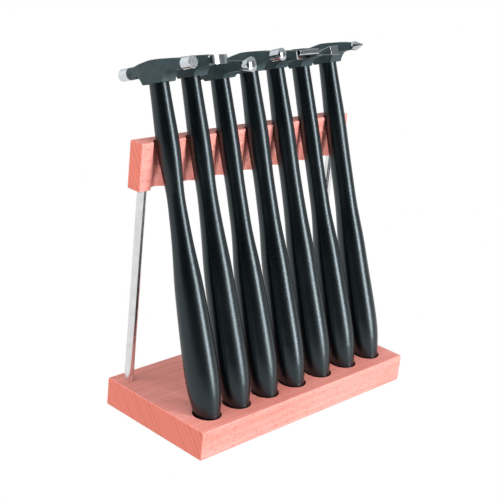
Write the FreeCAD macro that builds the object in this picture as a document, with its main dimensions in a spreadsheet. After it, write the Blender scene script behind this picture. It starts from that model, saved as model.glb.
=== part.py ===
import FreeCAD, Part
import math
import os

import Sketcher
from FreeCAD import Placement, Rotation, Vector

# Seven small metalsmith's hammers standing in a row in a beech stand. Millimetres.
# The origin is the middle of the stand's underside. +X runs along the row, from hammer 1 to hammer 7,
# +Y points to the back, where the rail is, and +Z is up. The heads point to the front.

SIZES = (
    # base block
    ("base_width", 190.0),
    ("base_depth", 87.5),
    ("base_thickness", 18.5),
    ("edge_round", 0.7),
    # rail, held behind the handles by two rods
    ("rail_length", 186.0),
    ("rail_thickness", 11.0),
    ("rail_height", 29.5),
    ("rail_bottom", 144.5),
    ("rail_setback", 72.7),
    ("notch_radius", 8.4),
    ("notch_reach", 5.7),
    ("rod_radius", 2.95),
    ("rod_spread", 172.0),
    ("base_socket_depth", 13.0),
    ("rail_socket_depth", 20.0),
    # row of blind holes for the butts of the handles
    ("hammer_pitch", 25.4),
    ("hole_radius", 9.1),
    ("hole_depth", 10.5),
    ("hole_setback", 16.8),
    ("butt_setback", 16.7),
    ("rest_gap", 0.3),
    # handle: radii along its length, which is counted from the top of the base
    ("butt_end", 10.4),
    ("mouth_radius", 8.0),
    ("belly_radius", 10.5),
    ("neck_radius", 5.90),
    ("tenon_radius", 4.2),
    # head body, counted from the axis of its faces
    ("head_width", 12.0),
    ("head_crown", 5.3),
    ("hollow_radius", 7.5),
    ("front_crown_radius", 105.0),
    ("back_crown_radius", 240.0),
    ("side_flat", 9.0),
    ("head_edge", 0.5),
    ("collar_radius", 3.75),
    ("collar_length", 3.4),
    # steel wedge in the end of the tenon
    ("wedge_width", 6.2),
    ("wedge_thickness", 1.3),
    ("wedge_depth", 6.5),
    # shank of each pressed-in face
    ("shank_radius", 1.6),
    ("shank_length", 6.0),
    # faces: radii and lengths of the turned ones, then the three that are ground flat-sided
    ("face_radius", 3.75),
    ("face_length", 7.4),
    ("rim_bevel", 0.3),
    ("pip_radius", 0.15),
    ("wide_dome_radius", 4.65),
    ("bar_half_width", 7.4),
    ("bar_half_height", 2.75),
    ("bar_length", 5.0),
    ("bar_corner", 1.1),
    ("bar_crown", 15.5),
    ("fan_half_width", 10.2),
    ("fan_length", 8.8),
    ("square_half_width", 4.3),
    ("square_half_height", 2.9),
    ("square_length", 12.6),
    ("cone_radius", 3.1),
    ("cone_length", 8.6),
    ("peen_half_width", 4.6),
    ("peen_length", 7.6),
)

# One line for each hammer: how far it stands off its place along the row, its sideways tilt, the height
# of the face axis up the handle, the twist of the head about the handle, the handle's radius at the swell
# beside the rail, at the waist and at the taper, the length of the front arm and of the back arm, half
# the height of the arms at their ends, and how far the foot of the head reaches to the front, back and down.
HAMMER_VALUES = (
    "shift", "tilt", "head_rise", "twist", "swell", "waist", "taper", "front_arm", "back_arm", "arm_half",
    "foot_front", "foot_back", "foot_depth",
)
HAMMERS = (
    (0.5, 0.15, 207.3, 3.0, 7.00, 5.45, 6.65, 22.9, 19.5, 2.5, 8.3, 8.3, 8.3),
    (0.2, 0.26, 207.7, 2.5, 6.80, 6.15, 7.50, 22.4, 19.0, 2.4, 8.8, 5.2, 7.1),
    (0.0, 0.00, 203.0, 3.5, 6.60, 6.10, 6.70, 21.0, 19.0, 2.5, 7.8, 7.5, 5.3),
    (0.0, 0.00, 207.3, 3.0, 7.05, 6.50, 7.20, 22.0, 19.0, 2.4, 8.0, 5.6, 7.3),
    (-0.2, -0.26, 206.2, 2.0, 7.05, 6.80, 7.70, 22.0, 19.0, 2.4, 5.4, 5.4, 5.6),
    (0.0, -0.33, 206.9, 3.5, 6.45, 6.15, 6.65, 16.9, 19.0, 2.2, 5.2, 5.2, 6.8),
    (0.0, -0.05, 208.9, 3.0, 7.10, 7.10, 7.60, 22.8, 19.0, 2.0, 7.4, 7.4, 7.8),
)

doc = FreeCAD.newDocument("hammer_stand")
sheet = doc.addObject("Spreadsheet::Sheet", "sizes")
parts = []


def fill_sheet():
    """Every driving size in the sheet: the shared ones, then a block for each hammer."""
    rows = list(SIZES)
    for number, values in enumerate(HAMMERS, 1):
        rows += [(f"{word}_{number}", value) for word, value in zip(HAMMER_VALUES, values)]
    for line, (word, value) in enumerate(rows, 1):
        sheet.set(f"A{line}", word)
        sheet.set(f"B{line}", str(value))
        sheet.setAlias(f"B{line}", word)
    doc.recompute()


def size(expression):
    """The value of an expression whose words are names in the sheet."""
    return float(sheet.evalExpression(expression))


def bind(thing, prop, expression):
    thing.setExpression(prop, expression)


def spell(expression):
    """The same expression with each of the sheet's names written as sizes.name."""
    text = ""
    word = ""
    for letter in expression + " ":
        if letter.isalnum() or letter == "_":
            word += letter
            continue
        is_size = word[:1].isalpha() and letter != "("
        text += f"sizes.{word}" if is_size else word
        text += letter
        word = ""
    return text.strip()


def new_body(label):
    body = doc.addObject("PartDesign::Body", label)
    body.Label = label
    parts.append(body)
    return body


def attach(feature, body, role):
    """Lays a sketch or a primitive on one of its body's own origin planes."""
    planes = [item for item in body.Origin.OriginFeatures if item.Role == role]
    feature.AttachmentSupport = (planes[0], [""])
    feature.MapMode = "FlatFace"
    return feature


def new_sketch(body, role, name):
    return attach(body.newObject("Sketcher::SketchObject", name), body, role)


def hold_point(sketch, edge, end, across, up):
    """Holds one end of an edge at (across, up), both bound to the sheet."""
    for kind, expression, axis in (("DistanceX", across, -2), ("DistanceY", up, -1)):
        value = size(spell(expression))
        if abs(value) < 1e-9:
            sketch.addConstraint(Sketcher.Constraint("PointOnObject", edge, end, axis))
            continue
        ends = (-1, 1, edge, end) if value > 0 else (edge, end, -1, 1)
        index = sketch.addConstraint(Sketcher.Constraint(kind, *ends, abs(value)))
        sign = "" if value > 0 else "-"
        bind(sketch, f"Constraints[{index}]", f"{sign}({spell(expression)})")


def draw_outline(sketch, corners):
    """A closed outline. Each corner is (across, up) or (across, up, bend): the edge that leaves a corner
    is straight, or an arc of radius bend that bulges to the left of its way (to the right if negative)."""
    spots = [Vector(size(spell(c[0])), size(spell(c[1])), 0) for c in corners]
    ends = []
    for i, corner in enumerate(corners):
        here = spots[i]
        there = spots[(i + 1) % len(spots)]
        if len(corner) == 2:
            edge = sketch.addGeometry(Part.LineSegment(here, there))
            ends.append((edge, 1, 2))
            continue
        bend = size(spell(corner[2]))
        chord = there - here
        left = Vector(-chord.y, chord.x, 0).normalize()
        to_centre = math.sqrt(bend * bend - (chord.Length / 2) ** 2)
        centre = (here + there) / 2 - left * math.copysign(to_centre, bend)
        first, last = (there, here) if bend > 0 else (here, there)
        angles = [math.atan2(spot.y - centre.y, spot.x - centre.x) for spot in (first, last)]
        circle = Part.Circle(centre, Vector(0, 0, 1), abs(bend))
        edge = sketch.addGeometry(Part.ArcOfCircle(circle, *angles))
        ends.append((edge, 2, 1) if bend > 0 else (edge, 1, 2))
        index = sketch.addConstraint(Sketcher.Constraint("Radius", edge, abs(bend)))
        bind(sketch, f"Constraints[{index}]", f"abs({spell(corner[2])})")
    for i, corner in enumerate(corners):
        edge, start, _ = ends[i]
        before, _, finish = ends[i - 1]
        sketch.addConstraint(Sketcher.Constraint("Coincident", before, finish, edge, start))
        hold_point(sketch, edge, start, corner[0], corner[1])


def draw_circle(sketch, across, up, radius):
    centre = Vector(size(spell(across)), size(spell(up)), 0)
    edge = sketch.addGeometry(Part.Circle(centre, Vector(0, 0, 1), size(spell(radius))))
    index = sketch.addConstraint(Sketcher.Constraint("Radius", edge, size(spell(radius))))
    bind(sketch, f"Constraints[{index}]", spell(radius))
    hold_point(sketch, edge, 3, across, up)


def draw_rectangle(sketch, width, depth):
    """A rectangle centred on the sketch's origin."""
    x = f"({width}) / 2"
    y = f"({depth}) / 2"
    draw_outline(sketch, [(f"-{x}", f"-{y}"), (x, f"-{y}"), (x, y), (f"-{x}", y)])


def pad(body, sketch, length, symmetric=False):
    feature = body.newObject("PartDesign::Pad", "Pad")
    feature.Profile = sketch
    feature.SideType = "Symmetric" if symmetric else "One side"
    bind(feature, "Length", spell(length))
    doc.recompute()
    return feature


def pocket(body, sketch, depth=None, reversed_way=False):
    """A pocket of that depth, or right through both ways when no depth is given."""
    before = body.Shape.Volume
    feature = body.newObject("PartDesign::Pocket", "Pocket")
    feature.Profile = sketch
    feature.Reversed = reversed_way
    if depth is None:
        feature.SideType = "Symmetric"
        feature.Type = "ThroughAll"
    else:
        bind(feature, "Length", spell(depth))
    doc.recompute()
    if body.Shape.Volume > before - 0.01:
        raise ValueError(f"{body.Label}: a pocket cut nothing")
    return feature


def cylinder(body, kind, role, radius, length, start="0", flip=False):
    """An added or removed cylinder standing on an origin plane, from start to start + length."""
    feature = attach(body.newObject(f"PartDesign::{kind}Cylinder", "Cylinder"), body, role)
    bind(feature, "Radius", spell(radius))
    bind(feature, "Height", spell(length))
    if flip:
        feature.AttachmentOffset = Placement(Vector(), Rotation(Vector(1, 0, 0), 180))
        start = f"-({start})"
    bind(feature, "AttachmentOffset.Base.z", spell(start))
    doc.recompute()
    return feature


def round_edges(body, wanted, radius):
    """Rounds the edges of the body's last feature for which wanted(edge) is true."""
    last = body.Tip
    names = [f"Edge{i}" for i, edge in enumerate(last.Shape.Edges, 1) if wanted(edge)]
    feature = body.newObject("PartDesign::Fillet", "Fillet")
    feature.Base = (last, names)
    bind(feature, "Radius", spell(radius))
    doc.recompute()
    return feature


def edge_middle(edge):
    return edge.valueAt((edge.FirstParameter + edge.LastParameter) / 2)


# ------------------------------------------------------------------------------------------- stand

ROD_Y = "rail_setback + rail_thickness / 2 - base_depth / 2"


def hammer_x(number):
    """Where a hammer stands along the row."""
    return f"({number} - 4) * hammer_pitch"


def make_base():
    body = new_body("stand_base")
    outline = new_sketch(body, "XY_Plane", "block_outline")
    draw_rectangle(outline, "base_width", "base_depth")
    pad(body, outline, "base_thickness")
    round_edges(body, lambda edge: True, "edge_round")
    holes = new_sketch(body, "XY_Plane", "handle_holes")
    bind(holes, "AttachmentOffset.Base.z", spell("base_thickness"))
    for number in range(1, 8):
        draw_circle(holes, hammer_x(number), "hole_setback - base_depth / 2", "hole_radius")
    pocket(body, holes, "hole_depth")
    sockets = new_sketch(body, "XY_Plane", "rod_sockets")
    bind(sockets, "AttachmentOffset.Base.z", spell("base_thickness"))
    for side in ("-", ""):
        draw_circle(sockets, f"{side}rod_spread / 2", ROD_Y, "rod_radius")
    pocket(body, sockets, "base_socket_depth")


def make_rail():
    body = new_body("top_rail")
    outline = new_sketch(body, "XY_Plane", "rail_outline")
    draw_rectangle(outline, "rail_length", "rail_thickness")
    pad(body, outline, "rail_height")
    round_edges(body, lambda edge: True, "edge_round")
    notches = new_sketch(body, "XY_Plane", "handle_notches")
    for number in range(1, 8):
        notch_y = "notch_reach - notch_radius - rail_thickness / 2"
        draw_circle(notches, hammer_x(number), notch_y, "notch_radius")
    pocket(body, notches)
    sockets = new_sketch(body, "XY_Plane", "rod_sockets")
    for side in ("-", ""):
        draw_circle(sockets, f"{side}rod_spread / 2", "0", "rod_radius")
    pocket(body, sockets, "rail_socket_depth", reversed_way=True)
    bind(body, "Placement.Base.y", spell(ROD_Y))
    bind(body, "Placement.Base.z", spell("rail_bottom"))


def make_rod(label, side):
    body = new_body(label)
    cylinder(body, "Additive", "XY_Plane", "rod_radius",
             "rail_bottom + rail_socket_depth - base_thickness + base_socket_depth")
    bind(body, "Placement.Base.x", spell(f"{side}rod_spread / 2"))
    bind(body, "Placement.Base.y", spell(ROD_Y))
    bind(body, "Placement.Base.z", spell("base_thickness - base_socket_depth"))


# ----------------------------------------------------------------------------------------- hammers


def lean(number):
    """How far a handle leans back, in degrees, when its swell rests in the notch of the rail."""
    rise = size(spell("rail_bottom + rail_height - base_thickness"))
    back = size(spell("rail_setback + notch_reach - rest_gap - butt_setback"))
    swell = size(spell(f"swell_{number}"))
    angle = math.atan(back / rise)
    for _ in range(4):
        angle = math.atan((back - swell / math.cos(angle)) / rise)
    return math.degrees(angle)


def hammer_place(number):
    """The hammer's own frame: its origin is on the handle's axis, level with the top of the base, and
    its +Z runs up the handle."""
    foot = Vector(
        size(spell(f"{hammer_x(number)} + shift_{number}")),
        size(spell("butt_setback - base_depth / 2")),
        size(spell("base_thickness")),
    )
    back = Rotation(Vector(1, 0, 0), -lean(number))
    aside = Rotation(Vector(0, 1, 0), size(spell(f"tilt_{number}")))
    return Placement(foot, aside.multiply(back))


def head_place(number):
    """The frame of a head: the faces' axis crosses the handle's axis at its origin, and -Y is the front."""
    up = Vector(0, 0, size(spell(f"head_rise_{number}")))
    turn = Rotation(Vector(0, 0, 1), size(spell(f"twist_{number}")))
    return hammer_place(number).multiply(Placement(up, turn))


def wedge_solid(number):
    """The steel wedge in the hammer's frame, as a box that thins to an edge at its lower end."""
    top = size(spell(f"head_rise_{number} + head_crown - 0.1"))
    depth = size(spell("wedge_depth"))
    half = size(spell("wedge_width / 2"))
    thick = size(spell("wedge_thickness / 2"))
    corners = [Vector(-thick, 0, top), Vector(thick, 0, top), Vector(0.15, 0, top - depth),
               Vector(-0.15, 0, top - depth)]
    face = Part.Face(Part.makePolygon(corners + corners[:1]))
    face.translate(Vector(0, -half, 0))
    solid = face.extrude(Vector(0, 2 * half, 0))
    turn = size(spell(f"twist_{number}"))
    solid.rotate(Vector(), Vector(0, 0, 1), turn)
    return solid


def new_feature(label, shape, place):
    feature = doc.addObject("Part::Feature", label)
    feature.Label = label
    feature.Shape = shape
    feature.Placement = place
    parts.append(feature)
    return feature


def make_handle(number):
    """A turned handle: domed butt, belly, long taper to the waist, swell, neck, and the tenon in the eye."""
    butt = size("sizes.butt_end")
    mouth = size("sizes.mouth_radius")
    belly = size("sizes.belly_radius")
    neck = size("sizes.neck_radius")
    tenon = size("sizes.tenon_radius")
    waist = size(f"sizes.waist_{number}")
    swell = size(f"sizes.swell_{number}")
    taper = size(f"sizes.taper_{number}")
    shoulder = size(spell(f"head_rise_{number} - foot_depth_{number}"))
    top = size(spell(f"head_rise_{number} + head_crown - 0.25"))
    profile = (
        (0.0, -butt),
        (0.31 * mouth, 0.5 - butt),
        (0.57 * mouth, 2.0 - butt),
        (0.80 * mouth, 4.6 - butt),
        (mouth, 0.0),
        (0.94 * belly, 12.0),
        (belly, 25.0),
        (0.98 * belly, 39.0),
        (0.91 * belly, 60.0),
        (0.45 * belly + 0.55 * taper, 82.0),
        (taper, 102.0),
        (0.70 * waist + 0.30 * taper, 118.0),
        (waist, 134.0),
        (0.35 * waist + 0.65 * swell, 149.0),
        (swell, 164.0),
        (0.55 * swell + 0.45 * neck, 179.0),
        (neck, shoulder),
    )
    side = Part.BSplineCurve()
    points = [Vector(radius, 0, rise) for radius, rise in profile]
    start_way = Vector(1, 0, 0)
    end_way = Vector(-0.02, 0, 1)
    side.interpolate(Points=points, InitialTangent=start_way, FinalTangent=end_way, Scale=False)
    spans = []
    for start, end in zip(side.getKnots(), side.getKnots()[1:]):
        span = side.copy()
        span.segment(start, end)
        spans.append(span.toShape())
    rest = [points[-1], Vector(tenon, 0, shoulder), Vector(tenon, 0, top), Vector(0, 0, top), points[0]]
    outline = Part.Wire(spans + Part.makePolygon(rest).Edges)
    turned = Part.Face(outline).revolve(Vector(), Vector(0, 0, 1), 360)
    solid = turned if turned.ShapeType == "Solid" else Part.Solid(turned.Shells[0])
    if solid.Volume < 0:
        solid.reverse()
    handle = solid.cut(wedge_solid(number)).Solids[0]
    new_feature(f"hammer_{number}_handle", handle, hammer_place(number))


def make_wedge(number):
    new_feature(f"hammer_{number}_wedge", wedge_solid(number), hammer_place(number))


def carve(body, side_corners, plan_corners, width, reach):
    """A block cut from two sides: a side view padded to a width, then trimmed to a plan view."""
    side = new_sketch(body, "YZ_Plane", "side_view")
    draw_outline(side, side_corners)
    pad(body, side, width, symmetric=True)
    plan = new_sketch(body, "XY_Plane", "plan_view")
    draw_rectangle(plan, f"4 * ({reach})", f"4 * ({reach})")
    draw_outline(plan, plan_corners)
    pocket(body, plan)


def make_head(number):
    """Blackened body: an eye block with a flat foot, a crowned top, and two arms hollowed below."""
    body = new_body(f"hammer_{number}_head")
    front = f"front_arm_{number}"
    back = f"back_arm_{number}"
    arm = f"arm_half_{number}"
    foot_front = f"foot_front_{number}"
    foot_back = f"foot_back_{number}"
    foot = f"foot_depth_{number}"
    # each hollow starts on the foot and meets the underside of its arm in a level tangent
    hollow = f"sqrt(hollow_radius ^ 2 - ({foot} - {arm} - hollow_radius) ^ 2)"
    side = [
        (f"-{front}", f"-{arm}"),
        (f"-({foot_front} + {hollow})", f"-{arm}", "hollow_radius"),
        (f"-{foot_front}", f"-{foot}"),
        (foot_back, f"-{foot}", "hollow_radius"),
        (f"{foot_back} + {hollow}", f"-{arm}"),
        (back, f"-{arm}"),
        (back, f"{arm} + 0.1", "-back_crown_radius"),
        ("0", "head_crown", "-front_crown_radius"),
        (f"-{front}", f"{arm} + 0.4"),
    ]
    tip = f"({arm} + 0.9)"
    plan = [
        (f"-{tip}", f"-{front}"),
        (tip, f"-{front}"),
        ("head_width / 2", "-side_flat"),
        ("head_width / 2", "side_flat"),
        (tip, back),
        (f"-{tip}", back),
        ("-head_width / 2", "side_flat"),
        ("-head_width / 2", "-side_flat"),
    ]
    carve(body, side, plan, "head_width", "head_width")
    round_edges(body, lambda edge: True, "head_edge")
    cylinder(body, "Subtractive", "XY_Plane", "tenon_radius", f"{foot} + 2 * head_crown", f"-{foot}")
    cylinder(body, "Additive", "XZ_Plane", "collar_radius", "collar_length + 3", f"{back} - 3", flip=True)
    cylinder(body, "Subtractive", "XZ_Plane", "shank_radius", "shank_length",
             f"{back} + collar_length - shank_length", flip=True)
    cylinder(body, "Subtractive", "XZ_Plane", "shank_radius", "shank_length", f"{front} - shank_length")
    body.Placement = head_place(number)


def face_place(number, end):
    """The frame of a face: its origin is at the end of the arm, and +Y points outwards."""
    if end == "front":
        out = Placement(Vector(0, -size(spell(f"front_arm_{number}")), 0), Rotation(Vector(0, 0, 1), 180))
    else:
        out = Placement(Vector(0, size(spell(f"back_arm_{number} + collar_length")), 0), Rotation())
    return head_place(number).multiply(out)


def turned_face(number, end, profile):
    """A face turned on a lathe. The profile runs from the shank's shoulder to the middle of the face,
    as corners (outwards, radius) or (outwards, radius, bend)."""
    label = f"hammer_{number}_{end}_face"
    outline = doc.addObject("Sketcher::SketchObject", f"{label}_profile")
    shank = [("-shank_length", "0"), ("-shank_length", "shank_radius"), ("0", "shank_radius")]
    draw_outline(outline, shank + profile)
    turned = doc.addObject("Part::Revolution", label)
    turned.Label = label
    turned.Source = outline
    turned.Axis = Vector(1, 0, 0)
    turned.Solid = True
    parts.append(turned)
    doc.recompute()
    outwards = Placement(Vector(), Rotation(Vector(0, 0, 1), 90))
    turned.Placement = face_place(number, end).multiply(outwards)


def flat_face(radius, length):
    """A cylinder with a flat, lightly bevelled face."""
    return [("0", radius), (f"{length} - rim_bevel", radius), (length, f"{radius} - rim_bevel"), (length, "0")]


def domed_face(radius, length, crown, root="face_radius"):
    """A cylinder, or a flare from its root, with a face ground to a spherical crown. The lathe leaves a
    pip of a flat in the middle."""

    def reach(at_radius):
        return f"{length} - ({crown} - sqrt({crown} ^ 2 - ({at_radius}) ^ 2))"

    return [("0", root), (reach(radius), radius, crown), (reach("pip_radius"), "pip_radius"),
            (reach("pip_radius"), "0")]


def cone_face():
    """A bullet: a short flare from the neck, then a long point with a blunt tip."""
    return [("0", "0.62 * cone_radius"), ("0.9", "0.96 * cone_radius"), ("2.2", "cone_radius"),
            ("cone_length - 0.3", "0.35"), ("cone_length", "0")]


def runs_outwards(edge):
    """True for an edge of a ground face that runs straight outwards, beyond the root."""
    start, end = (vertex.Point for vertex in edge.Vertexes)
    return abs(end.x - start.x) + abs(end.z - start.z) < 0.01 and edge_middle(edge).y > 1.0


def ground_face(number, end, side_corners, plan_corners, width, rounding, corner=None, root=1.0):
    """A flat-sided face: side view and plan view, rounded edges beyond the root, and a turned shank. The
    corners between its sides may be rounded first."""
    body = new_body(f"hammer_{number}_{end}_face")
    carve(body, side_corners, plan_corners, width, width)
    if corner:
        round_edges(body, runs_outwards, corner)
    round_edges(body, lambda edge: edge_middle(edge).y > root, rounding)
    cylinder(body, "Additive", "XZ_Plane", "shank_radius", "shank_length + 1", "-1")
    body.Placement = face_place(number, end)


def bar_face(number, end):
    """A wide bar lying across the arm, its face crowned about an upright axis."""
    crown = "(bar_crown - sqrt(bar_crown ^ 2 - bar_half_width ^ 2))"
    side = [("0", "-2.2"), ("1.3", "-bar_half_height"), ("bar_length", "-bar_half_height"),
            ("bar_length", "bar_half_height"), ("1.3", "bar_half_height"), ("0", "2.2")]
    plan = [("2.8", "0"), ("bar_half_width", "1.6"), ("bar_half_width", f"bar_length - {crown}", "-bar_crown"),
            ("-bar_half_width", f"bar_length - {crown}"), ("-bar_half_width", "1.6"), ("-2.8", "0")]
    ground_face(number, end, side, plan, "3 * bar_half_width", "0.6 * rim_bevel", "bar_corner", 3.0)


def fan_face(number, end):
    """A thin blade lying across the arm, fanned out from a thick root."""
    side = [("0", "-2.2"), ("2.0", "-3.0"), ("fan_length - 0.8", "-0.6"), ("fan_length", "0.1"),
            ("fan_length", "2.1"), ("fan_length - 0.6", "2.6"), ("1.5", "2.9"), ("0", "2.4")]
    plan = [("3.2", "0"), ("3.8", "2.0"), ("fan_half_width - 1.2", "fan_length - 3.0"),
            ("fan_half_width", "fan_length - 1.6"), ("fan_half_width - 0.9", "fan_length - 0.3"),
            ("0", "fan_length")]
    ground_face(number, end, side, plan + [(f"-({x})", y) for x, y in reversed(plan[:-1])],
                "3 * fan_half_width", "0.5 * rim_bevel")


def square_face(number, end):
    """A four-sided flare that ends in a flat oblong face."""
    side = [("0", "-1.1"), ("square_length", "-square_half_height"), ("square_length", "square_half_height"),
            ("0", "1.1")]
    plan = [("1.7", "0"), ("square_half_width", "square_length"), ("-square_half_width", "square_length"),
            ("-1.7", "0")]
    ground_face(number, end, side, plan, "3 * square_half_width", "0.8 * rim_bevel")


def peen_face(number, end):
    """A blunt chisel lying across the arm."""
    side = [("0", "-2.4"), ("1.0", "-2.6"), ("peen_length - 0.5", "-0.75"), ("peen_length", "-0.3"),
            ("peen_length", "0.3"), ("peen_length - 0.5", "0.75"), ("1.0", "2.6"), ("0", "2.4")]
    plan = [("2.9", "0"), ("3.3", "1.0"), ("peen_half_width", "peen_length"),
            ("-peen_half_width", "peen_length"), ("-3.3", "1.0"), ("-2.9", "0")]
    ground_face(number, end, side, plan, "3 * peen_half_width", "0.4 * rim_bevel")


fill_sheet()
make_base()
make_rail()
make_rod("left_rod", "-")
make_rod("right_rod", "")
for hammer in range(1, 8):
    make_handle(hammer)
    make_wedge(hammer)
    make_head(hammer)

turned_face(1, "front", flat_face("face_radius", "face_length"))
turned_face(1, "back", domed_face("face_radius", "face_length + 0.8", "6.5"))
bar_face(2, "front")
turned_face(2, "back", flat_face("face_radius", "face_length"))
turned_face(3, "front", domed_face("wide_dome_radius", "1.04 * face_length", "9", "0.63 * wide_dome_radius"))
turned_face(3, "back", domed_face("0.9 * face_radius", "face_length", "3.8", "0.9 * face_radius"))
turned_face(4, "front", domed_face("1.04 * face_radius", "1.14 * face_length", "7", "face_radius"))
peen_face(4, "back")
fan_face(5, "front")
turned_face(5, "back", domed_face("face_radius", "face_length", "11"))
square_face(6, "front")
turned_face(6, "back", flat_face("0.85 * face_radius", "face_length"))
turned_face(7, "front", cone_face())
turned_face(7, "back", domed_face("face_radius", "face_length", "5"))

doc.recompute()
os.makedirs("parts", exist_ok=True)
for thing in doc.Objects:
    if "Invalid" in thing.State or "Error" in thing.State:
        raise ValueError(f"{thing.Label} failed: {thing.State}")
for thing in parts:
    shape = thing.Shape
    if shape.isNull() or not shape.isValid() or len(shape.Solids) != 1:
        raise ValueError(f"{thing.Label} isn't one valid solid")
    shape.exportStep(f"parts/{thing.Label}.step")
    print(thing.Label, round(shape.Volume, 1), shape.BoundBox)
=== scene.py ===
import math

import bmesh
import bpy
from mathutils import Matrix, Vector


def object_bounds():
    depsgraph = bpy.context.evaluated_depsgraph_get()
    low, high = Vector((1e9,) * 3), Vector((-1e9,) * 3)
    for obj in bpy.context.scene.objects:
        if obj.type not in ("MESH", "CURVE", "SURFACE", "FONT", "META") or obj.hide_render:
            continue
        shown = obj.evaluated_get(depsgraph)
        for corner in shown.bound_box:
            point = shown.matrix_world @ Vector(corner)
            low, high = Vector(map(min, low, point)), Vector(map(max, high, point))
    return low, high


# Seven small metalsmith's hammers in a beech stand. Metres. The shapes come from the CAD frame; this
# script gives them their materials, the floor, the light and the camera.

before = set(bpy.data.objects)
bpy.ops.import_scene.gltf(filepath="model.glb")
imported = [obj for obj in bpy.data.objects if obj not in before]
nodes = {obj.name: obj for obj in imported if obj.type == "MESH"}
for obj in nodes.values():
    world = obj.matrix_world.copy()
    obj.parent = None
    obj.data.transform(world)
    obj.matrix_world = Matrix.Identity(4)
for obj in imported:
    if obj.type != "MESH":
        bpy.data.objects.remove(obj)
cad_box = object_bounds()
scene = bpy.context.scene

MM = 0.001
HAMMERS = range(1, 8)


# ---------------------------------------------------------------------------------------- shaders


class Shader:
    """A material's node tree, with short names for the nodes that the materials below use."""

    def __init__(self, name):
        self.material = bpy.data.materials.new(name)
        self.material.use_nodes = True
        self.tree = self.material.node_tree
        self.tree.nodes.clear()
        self.surface = self.node("ShaderNodeBsdfPrincipled")
        output = self.node("ShaderNodeOutputMaterial")
        self.tree.links.new(self.surface.outputs[0], output.inputs["Surface"])
        self.place = self.node("ShaderNodeTexCoord").outputs["Object"]

    def node(self, kind, inputs=None, **settings):
        made = self.tree.nodes.new(kind)
        for name, value in settings.items():
            setattr(made, name, value)
        for name, value in (inputs or {}).items():
            self.put(made.inputs[name], value)
        return made

    def put(self, socket, value):
        if isinstance(value, bpy.types.NodeSocket):
            self.tree.links.new(value, socket)
        else:
            socket.default_value = value

    def finish(self, **inputs):
        """Sets the surface's own sockets: base_color=..., roughness=... and so on."""
        for name, value in inputs.items():
            self.put(self.surface.inputs[name.replace("_", " ").title().replace("Ior", "IOR")], value)
        return self.material

    def mapped(self, scale, rotation=(0, 0, 0), offset=(0, 0, 0)):
        """Object coordinates, shifted, turned, and scaled from metres to cycles."""
        turned = self.node("ShaderNodeMapping", {"Vector": self.place, "Location": offset,
                                                 "Rotation": rotation}).outputs[0]
        return self.node("ShaderNodeMapping", {"Vector": turned, "Scale": scale}).outputs[0]

    def noise(self, vector, detail=3.0, roughness=0.5):
        return self.node("ShaderNodeTexNoise", {
            "Vector": vector, "Scale": 1.0, "Detail": detail, "Roughness": roughness}).outputs["Fac"]

    def math(self, operation, a, b=0.0):
        return self.node("ShaderNodeMath", {0: a, 1: b}, operation=operation).outputs[0]

    def vector(self, operation, a, b):
        return self.node("ShaderNodeVectorMath", {0: a, 1: b}, operation=operation).outputs

    def ramp(self, value, low, high, to_low=0.0, to_high=1.0):
        """Maps low..high to to_low..to_high, held at both ends."""
        return self.node("ShaderNodeMapRange", {
            "Value": value, "From Min": low, "From Max": high, "To Min": to_low, "To Max": to_high,
        }).outputs["Result"]

    def mix(self, amount, a, b):
        """A colour mix of a and b, which are colours or sockets."""
        made = self.node("ShaderNodeMix", data_type="RGBA")
        self.put(made.inputs[0], amount)
        self.put(made.inputs[6], a)
        self.put(made.inputs[7], b)
        return made.outputs[2]

    def bump(self, height, distance, strength):
        inputs = {"Height": height, "Distance": distance, "Strength": strength}
        return self.node("ShaderNodeBump", inputs).outputs[0]

    def wear_and_highlight_edges(self, radius):
        """1 on an outside edge and 0 on the flats, from the angle between the true and a bevelled normal."""
        soft = self.node("ShaderNodeBevel", {"Radius": radius}, samples=6).outputs[0]
        sharp = self.node("ShaderNodeNewGeometry").outputs["Normal"]
        agreement = self.vector("DOT_PRODUCT", soft, sharp)["Value"]
        return self.ramp(agreement, 0.995, 0.90)


def rgba(r, g, b):
    """An sRGB colour, 0 to 255, as linear RGBA."""
    def line(c):
        c /= 255
        return c / 12.92 if c <= 0.04045 else ((c + 0.055) / 1.055) ** 2.4
    return (line(r), line(g), line(b), 1.0)


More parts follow.
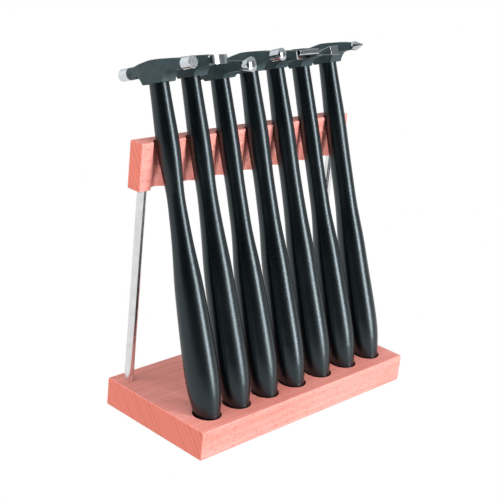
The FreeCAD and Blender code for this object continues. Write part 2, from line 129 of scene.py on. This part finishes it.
def beech(name, pith, seed):
    """Steamed beech in salmon pink, its grain along X. pith is where the tree's middle lies, in (Y, Z):
    the growth rings are circles about it, so they show as lines on the ends and streaks on the sides."""
    s = Shader(name)
    shift = (seed, seed * 1.7, -seed * 0.6)
    ring_width = 3.6 * MM
    ring_waver = 3.0
    wander = s.noise(s.mapped((7, 12, 12), offset=shift), detail=2.0)
    across = s.vector("MULTIPLY", s.place, (0, 1, 1))[0]
    from_pith = s.vector("DISTANCE", across, (0, *pith))["Value"]
    waver = s.math("MULTIPLY", wander, ring_waver)
    rings = s.math("ADD", s.math("MULTIPLY", from_pith, 1 / ring_width), waver)
    ring = s.math("FRACT", rings)
    # the late wood darkens towards the end of each ring, by a different amount in each year
    late = s.math("MULTIPLY", s.ramp(ring, 0.35, 0.93), s.ramp(ring, 1.0, 0.90))
    year = s.node("ShaderNodeTexWhiteNoise", {"W": s.math("FLOOR", rings)}, noise_dimensions="1D")
    late = s.math("MULTIPLY", late, s.ramp(year.outputs["Value"], 0.0, 1.0, 0.25, 1.0))
    fibres = s.noise(s.mapped((45, 1500, 1500), offset=shift), detail=4.0, roughness=0.62)
    bands = s.noise(s.mapped((9, 130, 130), offset=shift), detail=3.0)
    clouds = s.noise(s.mapped((14, 28, 28), offset=shift), detail=2.0)
    # the dashes of the medullary rays, which hardly show on top
    flecks = s.node("ShaderNodeTexVoronoi", {
        "Vector": s.mapped((210, 1000, 1000), offset=shift), "Scale": 1.0}, feature="F1")
    is_fleck = s.math("LESS_THAN", flecks.outputs["Distance"], 0.30)
    chosen = s.node("ShaderNodeSeparateColor", {0: flecks.outputs["Color"]}).outputs[0]
    fleck = s.math("MULTIPLY", is_fleck, s.math("GREATER_THAN", chosen, 0.45))

    facing = s.node("ShaderNodeSeparateXYZ", {0: s.node("ShaderNodeNewGeometry").outputs["Normal"]}).outputs
    end_grain = s.ramp(s.math("ABSOLUTE", facing[0]), 0.6, 0.85)
    fleck = s.math("MULTIPLY", fleck, s.ramp(s.math("ABSOLUTE", facing[2]), 0.5, 0.9, 1.0, 0.25))

    light = rgba(246, 160, 150)
    dark = rgba(216, 116, 98)
    colour = s.mix(s.ramp(bands, 0.3, 0.7), light, rgba(236, 144, 131))
    colour = s.mix(s.math("MULTIPLY", late, 0.45), colour, dark)
    colour = s.mix(s.ramp(fibres, 0.42, 0.75, 0.0, 0.45), colour, rgba(210, 112, 95))
    colour = s.mix(s.ramp(clouds, 0.35, 0.7, 0.0, 0.3), colour, rgba(252, 178, 164))
    colour = s.mix(s.math("MULTIPLY", fleck, 0.55), colour, rgba(172, 84, 76))
    ends = s.mix(s.math("MULTIPLY", late, 0.55), rgba(246, 132, 110), rgba(204, 86, 64))
    colour = s.mix(s.math("MULTIPLY", end_grain, 0.8), colour, ends)
    # painted highlight: the beech's outside edges are lightened to stand for the highlights along their
    # rounded corners
    wear_and_highlight = s.wear_and_highlight_edges(0.9 * MM)
    colour = s.mix(s.math("MULTIPLY", wear_and_highlight, 0.35), colour, rgba(255, 196, 180))

    height = s.math("ADD", s.math("MULTIPLY", fibres, 0.6), s.math("MULTIPLY", fleck, -0.5))
    return s.finish(
        base_color=colour,
        roughness=s.ramp(fibres, 0.3, 0.7, 0.40, 0.56),
        normal=s.bump(height, 0.12 * MM, 0.6),
    )


def handle_turn(node):
    """The turn that stands a handle's axis upright, worked out from the handle's own mesh."""
    corners = [v.co for v in nodes[node].data.vertices]
    top_band = 4 * MM
    low_band = 8 * MM
    top_z = max(c.z for c in corners)
    low_z = min(c.z for c in corners)
    top = [c for c in corners if c.z > top_z - top_band]
    low = [c for c in corners if c.z < low_z + low_band]
    axis = sum(top, Vector()) / len(top) - sum(low, Vector()) / len(low)
    return axis.to_track_quat("Z", "Y").inverted().to_euler()


def black_lacquer(name, turn, seed):
    """Satin black lacquer over turned wood: a faint pore speckle and long low grain under the coat."""
    s = Shader(name)
    shift = (seed, -seed, seed * 2)
    pores = s.noise(s.mapped((2600, 2600, 520), turn, shift), detail=2.0, roughness=0.6)
    grain = s.noise(s.mapped((700, 700, 22), turn, shift), detail=3.0)
    speckle = s.noise(s.mapped((1500, 1500, 1100), turn, shift), detail=2.0)
    clouds = s.noise(s.mapped((60, 60, 18), turn, shift), detail=2.0)
    colour = s.mix(s.ramp(grain, 0.35, 0.7), rgba(1, 3, 5), rgba(3, 8, 11))
    colour = s.mix(s.ramp(pores, 0.55, 0.75, 0.0, 0.4), colour, rgba(12, 19, 23))
    height = s.math("ADD", s.math("MULTIPLY", pores, 0.5), s.math("MULTIPLY", grain, 0.9))
    height = s.math("ADD", height, s.math("MULTIPLY", speckle, 0.35))
    rough = s.math("ADD", s.ramp(speckle, 0.3, 0.7, 0.27, 0.31), s.ramp(clouds, 0.3, 0.7, -0.02, 0.03))
    return s.finish(
        base_color=colour,
        roughness=rough,
        specular_ior_level=0.78,
        specular_tint=(0.76, 0.93, 1.0, 1.0),
        normal=s.bump(height, 0.05 * MM, 0.03),
    )


def black_steel(name, seed):
    """Blackened steel: a soft mottled blue-grey sheen, worn a little brighter along the edges."""
    s = Shader(name)
    shift = (seed, seed * 0.5, -seed)
    mottle = s.noise(s.mapped((220, 220, 220), offset=shift), detail=4.0, roughness=0.55)
    grit = s.noise(s.mapped((2800, 2800, 2800), offset=shift), detail=2.0)
    wear_and_highlight = s.math("MULTIPLY", s.wear_and_highlight_edges(0.45 * MM), s.ramp(mottle, 0.35, 0.6, 0.25, 1.0))
    colour = s.mix(s.ramp(mottle, 0.3, 0.7), rgba(44, 60, 63), rgba(57, 74, 77))
    colour = s.mix(s.math("MULTIPLY", wear_and_highlight, 0.55), colour, rgba(118, 128, 130))
    rough = s.math("SUBTRACT", s.ramp(mottle, 0.3, 0.7, 0.40, 0.50), s.math("MULTIPLY", wear_and_highlight, 0.10))
    return s.finish(
        base_color=colour,
        metallic=0.2,
        roughness=rough,
        normal=s.bump(grit, 0.05 * MM, 0.5),
    )


def bright_steel(name, tint, roughness, stretch, seed, marks_strength=0.25):
    """Bright steel with fine marks of its last grinding or polishing, drawn out by stretch. roughness is
    its lowest and highest."""
    s = Shader(name)
    shift = (seed, seed, seed)
    marks = s.noise(s.mapped(stretch, offset=shift), detail=3.0, roughness=0.6)
    clouds = s.noise(s.mapped((160, 160, 160), offset=shift), detail=2.0)
    colour = s.mix(s.ramp(clouds, 0.3, 0.7), rgba(*tint), rgba(*[0.95 * c for c in tint]))
    rough = s.math("ADD", s.ramp(marks, 0.3, 0.7, *roughness), s.ramp(clouds, 0.4, 0.7, 0.0, 0.02))
    return s.finish(
        base_color=colour,
        metallic=1.0,
        roughness=rough,
        normal=s.bump(marks, 0.02 * MM, marks_strength),
    )


def paint(node, material):
    """Gives a CAD node that one material."""
    node = nodes[node]
    node.data.materials.clear()
    node.data.materials.append(material)


# -------------------------------------------------------------------------------------- materials

paint("stand_base", beech("beech_block", (0.295, -0.238), 3.1))
paint("top_rail", beech("beech_rail", (0.27, -0.02), 7.4))
for number, rod in enumerate(("left_rod", "right_rod")):
    paint(rod, bright_steel(f"{rod}_steel", (248, 248, 248), (0.16, 0.24), (900, 900, 12), number))
for number in HAMMERS:
    handle = f"hammer_{number}_handle"
    paint(handle, black_lacquer(f"lacquer_{number}", handle_turn(handle), 1.3 * number))
    paint(f"hammer_{number}_head", black_steel(f"black_steel_{number}", 2.1 * number))
    paint(f"hammer_{number}_wedge",
          bright_steel(f"wedge_steel_{number}", (150, 152, 152), (0.35, 0.5), (900, 900, 900), number))
    satin = bright_steel(f"satin_steel_{number}", (232, 238, 241), (0.17, 0.25), (900, 260, 900),
                         number, 0.08)
    mirror = bright_steel(f"mirror_steel_{number}", (214, 220, 224), (0.08, 0.11), (700, 200, 700),
                          number, 0.03)
    paint(f"hammer_{number}_front_face", satin if number == 1 else mirror)
    paint(f"hammer_{number}_back_face", satin)


# ---------------------------------------------------------------------------------- floor and light

# How bright the floor glows where it is seen, where it is mirrored, and for the light it throws.
FLOOR_SEEN = 1.0
FLOOR_MIRRORED = 0.80
FLOOR_THROWN = 0.30
FLOOR_HALF_SIZE = 6.0
FLOOR_GAP = 0.2 * MM

# The surroundings' even glow, then soft round patches on it: azimuth, elevation, the angles from their
# middle where they are full and where they end, and strength.
WORLD_GLOW = 0.50
WORLD_PATCHES = (
    (-45, 10, 40, 62, -0.50),
    (-150, 10, 20, 60, 0.45),
    (56, 12, 8, 26, -0.28),
)

# Softboxes: name, azimuth, elevation, distance, width, height, power, whether it shows in glossy
# surfaces, and colour.
LIGHTS = (
    ("key", 24, 14, 1.3, 0.32, 1.0, 15, True, (1.0, 1.0, 1.0)),
    ("front_fill", -5, 7, 1.5, 1.4, 0.6, 18, False, (0.97, 1.0, 1.06)),
    ("left_fill", -100, 22, 1.5, 1.2, 1.0, 12, False, (1.0, 1.0, 1.0)),
    ("top_fill", -40, 80, 1.5, 1.4, 1.4, 5, False, (1.0, 0.88, 0.82)),
)


def make_floor():
    """A plain pale floor, wide enough to fill the view."""
    mesh = bpy.data.meshes.new("floor")
    form = bmesh.new()
    bmesh.ops.create_grid(form, x_segments=2, y_segments=2, size=FLOOR_HALF_SIZE)
    form.to_mesh(mesh)
    form.free()
    floor = bpy.data.objects.new("floor", mesh)
    floor.location.z = -FLOOR_GAP
    scene.collection.objects.link(floor)
    s = Shader("floor_paper")
    path = s.node("ShaderNodeLightPath")
    thrown = s.math("MULTIPLY", path.outputs["Is Diffuse Ray"], FLOOR_MIRRORED - FLOOR_THROWN)
    seen = s.math("MULTIPLY", path.outputs["Is Camera Ray"], FLOOR_SEEN - FLOOR_MIRRORED)
    glow = s.math("ADD", s.math("SUBTRACT", FLOOR_MIRRORED, thrown), seen)
    s.finish(base_color=(0, 0, 0, 1), roughness=1.0, specular_ior_level=0.0, emission_color=(1, 1, 1, 1),
             emission_strength=glow)
    mesh.materials.append(s.material)


def compass(azimuth, elevation):
    """The way out from the object. Azimuth 0 is in front and turns as the camera's does: -90 is at the
    left end of the row."""
    a = math.radians(azimuth)
    e = math.radians(elevation)
    return Vector((math.sin(a) * math.cos(e), -math.cos(a) * math.cos(e), math.sin(e)))


def area_light(name, azimuth, elevation, distance, width, height, power, mirrored, tint):
    """A rectangular softbox aimed at the middle of the object. One that isn't mirrored only lights matt
    surfaces and leaves no highlight."""
    out = compass(azimuth, elevation)
    data = bpy.data.lights.new(name, "AREA")
    data.shape = "RECTANGLE"
    data.size = width
    data.size_y = height
    data.energy = power
    data.color = tint
    light = bpy.data.objects.new(name, data)
    scene.collection.objects.link(light)
    light.location = centre + out * distance
    light.rotation_euler = out.to_track_quat("Z", "Y").to_euler()
    light.visible_glossy = mirrored


def make_world():
    """A studio for reflections and soft fill: the back and left are pale, the front left is black and the
    front right is grey. The view itself sees plain white."""
    world = bpy.data.worlds.new("studio")
    scene.world = world
    world.use_nodes = True
    tree = world.node_tree
    tree.nodes.clear()

    def node(kind, *inputs, **settings):
        made = tree.nodes.new(kind)
        for name, value in settings.items():
            setattr(made, name, value)
        for socket, value in zip(made.inputs, inputs):
            if isinstance(value, bpy.types.NodeSocket):
                tree.links.new(value, socket)
            else:
                socket.default_value = value
        return made.outputs

    ray = node("ShaderNodeTexCoord")["Generated"]
    glow = WORLD_GLOW
    for azimuth, elevation, inner, outer, strength in WORLD_PATCHES:
        way = compass(azimuth, elevation)
        dot = node("ShaderNodeVectorMath", ray, way, operation="DOT_PRODUCT")["Value"]
        patch = node("ShaderNodeMapRange", dot, math.cos(math.radians(outer)), math.cos(math.radians(inner)),
                     0.0, strength, interpolation_type="SMOOTHSTEP")["Result"]
        glow = node("ShaderNodeMath", glow, patch, operation="ADD")[0]
    glow = node("ShaderNodeMath", glow, 0.0, operation="MAXIMUM")[0]
    dim = node("ShaderNodeBackground", (0.93, 0.97, 1.0, 1.0), glow)[0]
    white = node("ShaderNodeBackground", (1.0, 1.0, 1.0, 1.0), 1.0)[0]
    is_view = node("ShaderNodeLightPath")["Is Camera Ray"]
    choice = node("ShaderNodeMixShader", is_view, dim, white)[0]
    node("ShaderNodeOutputWorld", choice)


centre = (cad_box[0] + cad_box[1]) / 2
make_floor()
make_world()
for light_values in LIGHTS:
    area_light(*light_values)

# ----------------------------------------------------------------------------------------- camera

AZIMUTH, ELEVATION, ROLL = -47.47, 19.68, 5.98
CAMERA_AT = Vector((-0.52205, -0.45717, 0.34691))
LENS, SENSOR = 82.89, 36.0


def make_camera():
    """The camera stands in front of the left end of the row, a little above the heads, and is rolled."""
    data = bpy.data.cameras.new("camera")
    data.lens = LENS
    data.sensor_width = SENSOR
    data.clip_start = 0.01
    camera = bpy.data.objects.new("camera", data)
    scene.collection.objects.link(camera)
    back = compass(AZIMUTH, ELEVATION)
    roll = math.radians(ROLL)
    level = Vector((0, 0, 1)).cross(back).normalized()
    upright = back.cross(level)
    right = math.cos(roll) * level + math.sin(roll) * upright
    up = math.cos(roll) * upright - math.sin(roll) * level
    turn = Matrix((right, up, back)).transposed()
    camera.matrix_world = Matrix.Translation(CAMERA_AT) @ turn.to_4x4()
    scene.camera = camera


make_camera()
scene.view_settings.view_transform = "Standard"
